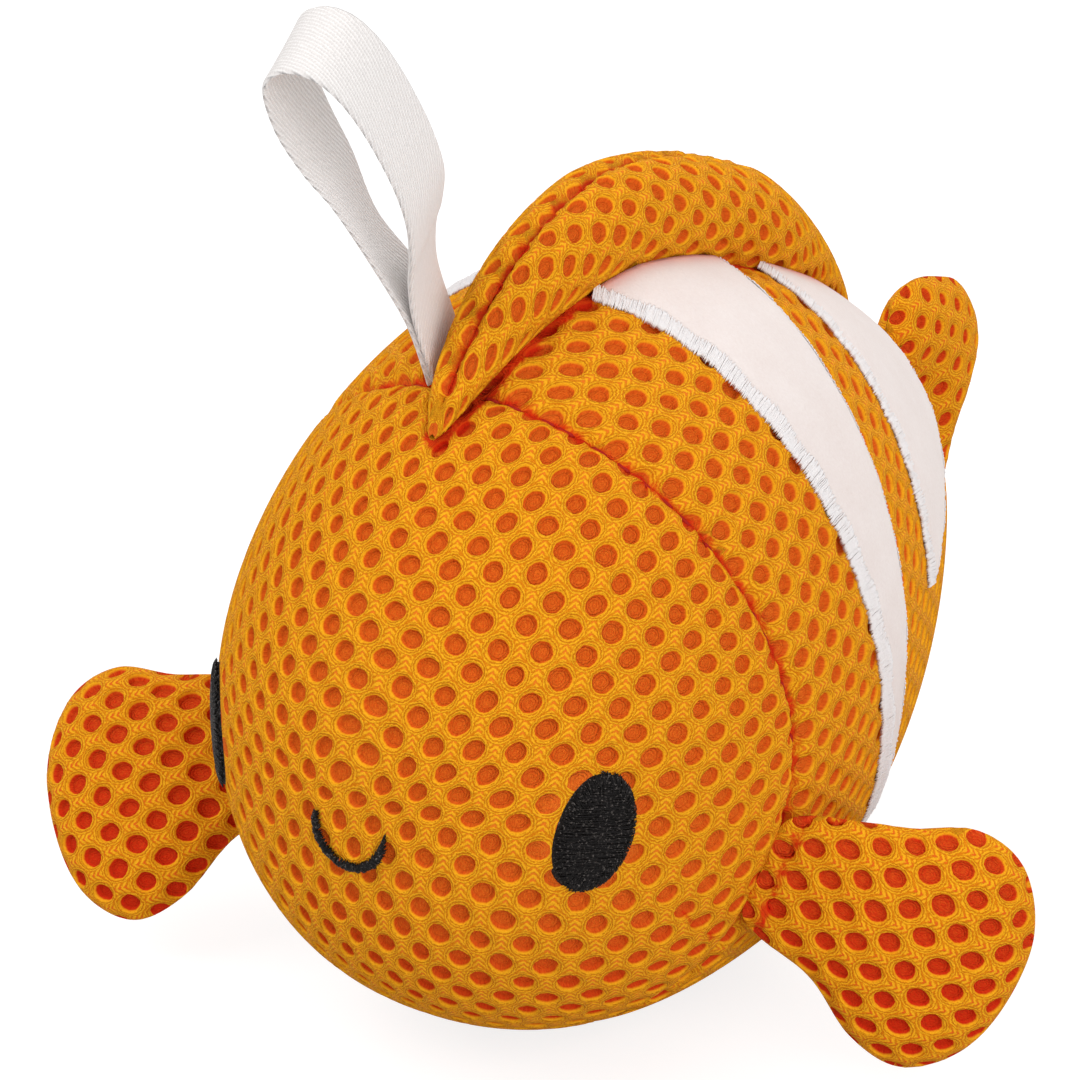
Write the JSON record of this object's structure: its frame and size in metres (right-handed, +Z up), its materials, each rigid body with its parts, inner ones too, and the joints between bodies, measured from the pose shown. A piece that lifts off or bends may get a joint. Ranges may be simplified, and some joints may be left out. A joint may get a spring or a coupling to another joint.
{
  "type": "squeaky bath toy",
  "caption": "Stuffed clownfish bath toy of open spacer mesh, with felt stripes, embroidered eyes and smile, soft fins, a hanging loop and a squeaker inside.",
  "frame": {"origin": "on the floor under the middle of the fish: X at the body's plane of symmetry, Y half way from nose to tail, Z at the belly's flat", "axes": "-Y is where the fish faces, +X its left side, +Z up"},
  "size_m": [0.1619, 0.1897, 0.1706],
  "materials": {
    "net": "open orange spacer mesh with round holes over a red-orange inner layer",
    "felt": "short white felt, stitched along its edges",
    "tape": "white twill tape",
    "thread": "black satin stitching",
    "filling": "white polyester fibre",
    "bladder": "translucent white blow-moulded plastic",
    "reed": "pale grey moulded plastic"
  },
  "bodies": {
    "body": {"face_panel": "net", "left_side_panel": "net", "right_side_panel": "net", "left_front_stripe": "felt", "right_front_stripe": "felt", "left_rear_stripe": "felt", "right_rear_stripe": "felt", "dorsal_fin_left_panel": "net", "dorsal_fin_right_panel": "net", "dorsal_fin_filling": "filling", "left_eye_embroidery": "thread", "right_eye_embroidery": "thread", "mouth_embroidery": "thread", "body_filling": "filling", "squeaker_base": "bladder", "squeaker_bellows": "bladder", "squeaker_reed_holder": "reed", "squeaker_reed": "reed"},
    "left_fin": {"left_fin_front_panel": "net", "left_fin_back_panel": "net", "left_fin_filling": "filling"},
    "right_fin": {"right_fin_front_panel": "net", "right_fin_back_panel": "net", "right_fin_filling": "filling"},
    "tail_fin": {"tail_fin_left_panel": "net", "tail_fin_right_panel": "net", "tail_fin_filling": "filling"},
    "loop": {"hanging_loop": "tape"},
    "squeaker_top": {"squeaker_cap": "bladder"}
  },
  "joints": [
    {"name": "left_fin_flap", "type": "hinge", "parent": "body", "child": "left_fin", "pos_m": [0.04576, -0.04624, 0.03505], "axis": [0.2829, 0.2294, 0.9313], "range_deg": [-70, 40], "stiffness_Nm_per_rad": 0.02},
    {"name": "right_fin_flap", "type": "hinge", "parent": "body", "child": "right_fin", "pos_m": [-0.04526, -0.05074, 0.03534], "axis": [0.4858, -0.4271, -0.7626], "range_deg": [-45, 35], "stiffness_Nm_per_rad": 0.02},
    {"name": "tail_sway", "type": "hinge", "parent": "body", "child": "tail_fin", "pos_m": [0, 0.07081, 0.0525], "axis": [0, 0, 1], "range_deg": [-38, 38], "stiffness_Nm_per_rad": 0.03},
    {"name": "loop_swing", "type": "hinge", "parent": "body", "child": "loop", "pos_m": [-0.00861, -0.05751, 0.1151], "axis": [-0.3275, 0.8733, 0.3607], "range_deg": [-70, 2], "stiffness_Nm_per_rad": 0.02},
    {"name": "squeaker_press", "type": "slide", "parent": "body", "child": "squeaker_top", "axis": [0, 0, -1], "range_m": [0, 0.006], "stiffness_N_per_m": 400, "deforming": ["squeaker_bellows"]}
  ]
}
